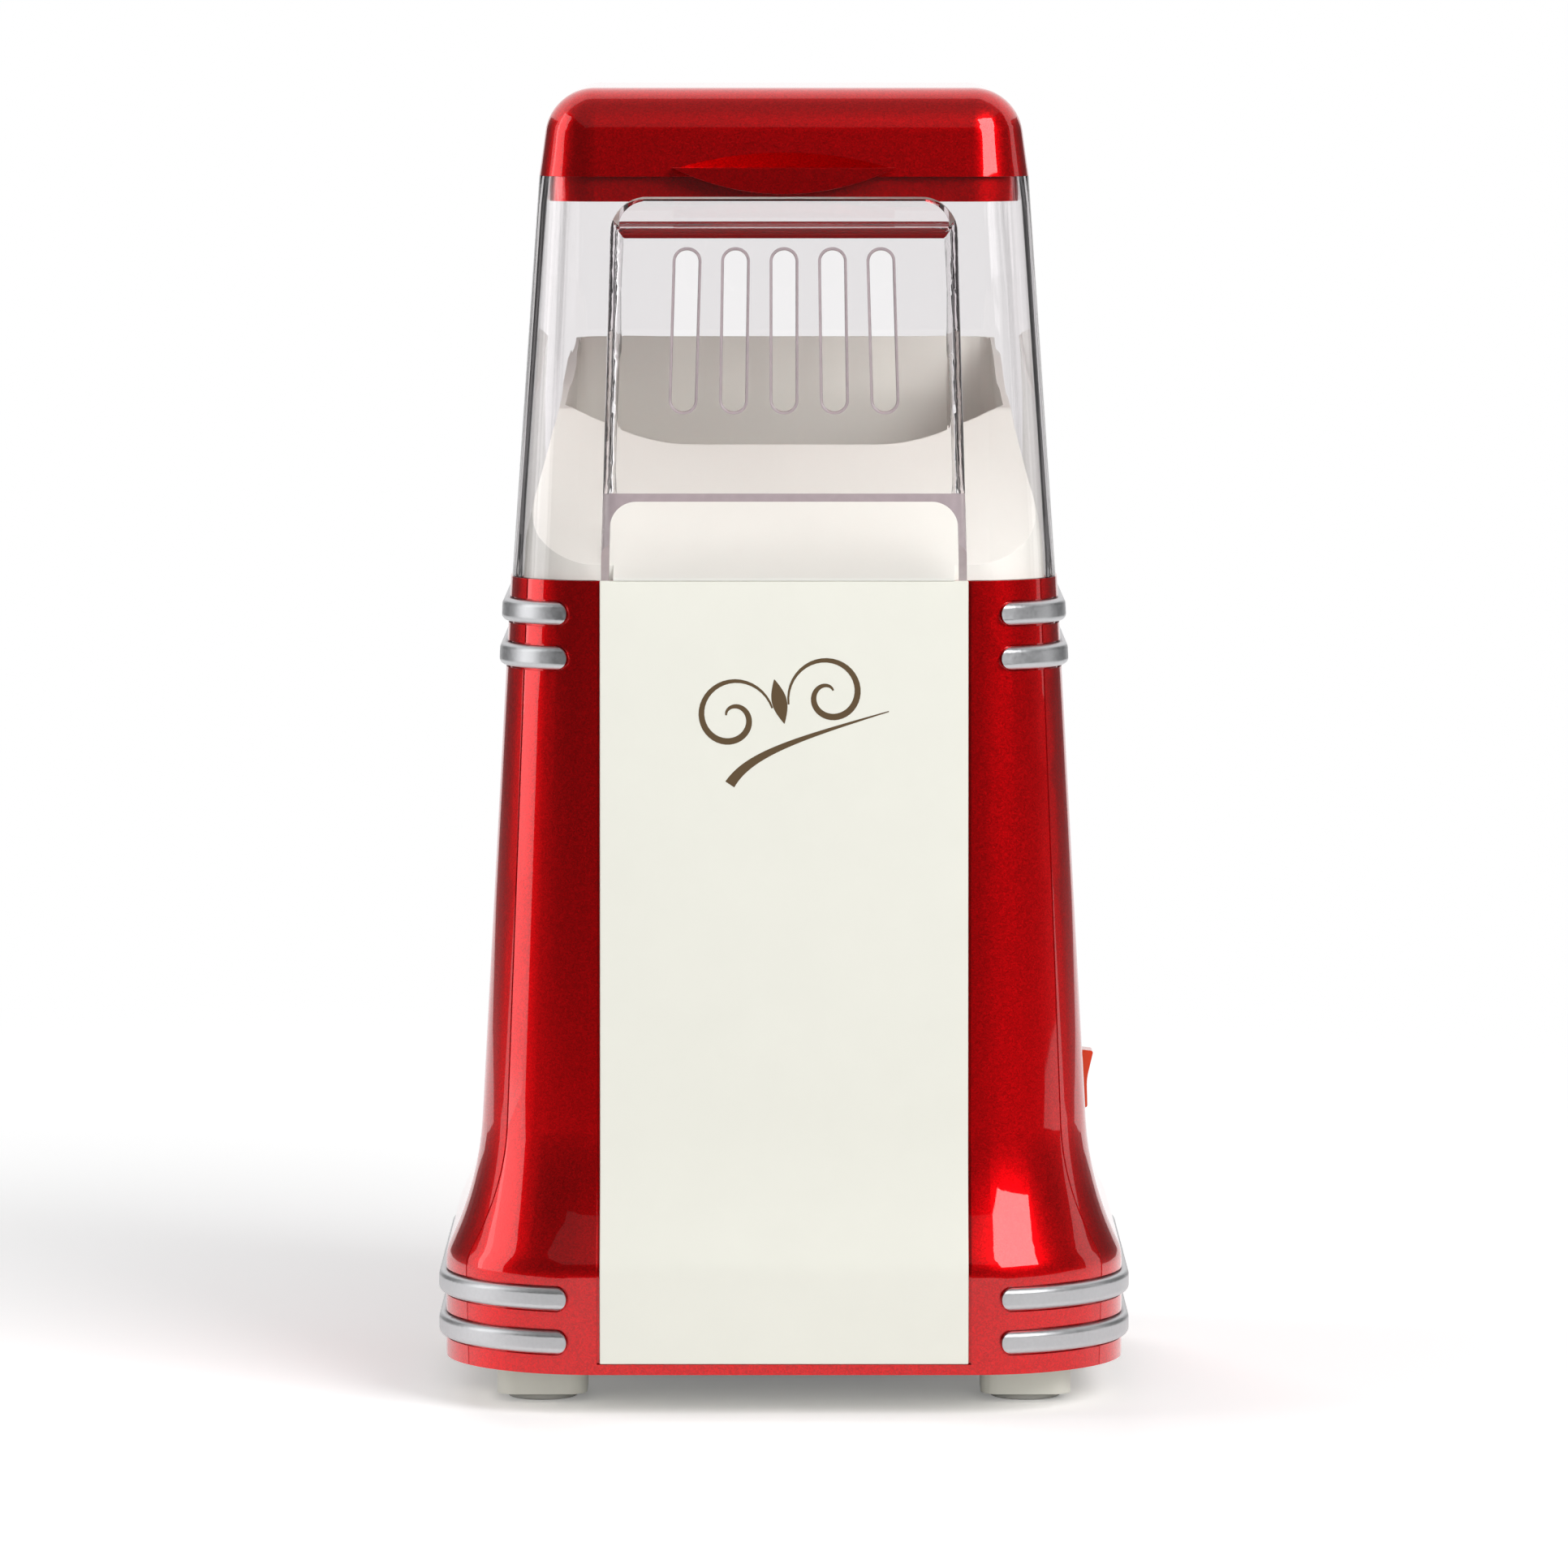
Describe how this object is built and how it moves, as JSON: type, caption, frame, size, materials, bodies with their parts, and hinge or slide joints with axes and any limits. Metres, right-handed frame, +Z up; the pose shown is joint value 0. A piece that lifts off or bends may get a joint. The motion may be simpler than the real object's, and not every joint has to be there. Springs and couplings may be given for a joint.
{
  "type": "hot-air popcorn maker",
  "caption": "Upright hot-air popcorn maker: flared red body, cream front panel, silver bars, clear vented hood with a front chute, lift-off lid and a side rocker switch.",
  "frame": {"origin": "centre of the outline on the table, under the feet", "axes": "+Z up, -Y is the front with the chute, +X is the right side with the switch"},
  "size_m": [0.2144, 0.2176, 0.4057],
  "materials": {
    "red_lacquer": "glossy metallic red lacquer",
    "cream_plastic": "smooth cream moulding",
    "silver_trim": "satin silver coating",
    "clear_hood": null,
    "rubber": "matt",
    "aluminium": "drawn sheet",
    "steel": "plain sheet",
    "silicone": "soft ring",
    "mica": "mica sheet",
    "heater_wire": "resistance wire",
    "black_plastic": "black moulding",
    "bronze": "sintered bush",
    "board": "circuit board",
    "magnet": "ferrite",
    "rocker_orange": "translucent orange moulding"
  },
  "bodies": {
    "base": {"front_shell": "red_lacquer", "rear_shell": "red_lacquer", "front_panel": "cream_plastic", "chute_funnel": "cream_plastic", "base_plate": "cream_plastic", "popping_chamber": "aluminium", "chamber_seal": "silicone", "air_duct": "steel", "heater_coil": "heater_wire", "heater_board_wide": "mica", "heater_board_deep": "mica", "thermostat": "steel", "thermal_fuse": "steel", "fan_housing": "black_plastic", "motor_can": "steel", "motor_end_cap": "black_plastic", "motor_bush_upper": "bronze", "motor_bush_lower": "bronze", "motor_magnets": "magnet", "rectifier_board": "board", "rectifier_diodes": "black_plastic", "motor_screws": "steel", "housing_screws": "steel", "base_screws": "steel", "switch_housing": "black_plastic", "switch_terminals": "steel", "cord_gland": "rubber", "upper_bar_top_left": "silver_trim", "upper_bar_top_right": "silver_trim", "upper_bar_bottom_left": "silver_trim", "upper_bar_bottom_right": "silver_trim", "lower_bar_top_left": "silver_trim", "lower_bar_top_right": "silver_trim", "lower_bar_bottom_left": "silver_trim", "lower_bar_bottom_right": "silver_trim", "foot_pad_front_left": "rubber", "foot_pad_front_right": "rubber", "foot_pad_rear_left": "rubber", "foot_pad_rear_right": "rubber"},
    "hood": {"hood": "clear_hood"},
    "lid": {"lid_cap": "red_lacquer"},
    "rocker": {"switch_rocker": "rocker_orange"},
    "rotor": {"motor_shaft": "steel", "fan_impeller": "aluminium", "motor_armature": "steel"}
  },
  "joints": [
    {"name": "hood_lift", "type": "slide", "parent": "base", "child": "hood", "axis": [0, 0, 1], "range_m": [0, 0.12]},
    {"name": "lid_lift", "type": "slide", "parent": "hood", "child": "lid", "axis": [0, 0, 1], "range_m": [0, 0.06]},
    {"name": "switch_press", "type": "hinge", "parent": "base", "child": "rocker", "pos_m": [0.09348, 0.02, 0.09], "axis": [0, -1, 0], "range_deg": [0, 18]},
    {"name": "fan_spin", "type": "hinge", "parent": "base", "child": "rotor", "pos_m": [0, 0, 0.1], "axis": [0, 0, 1], "continuous": true}
  ]
}
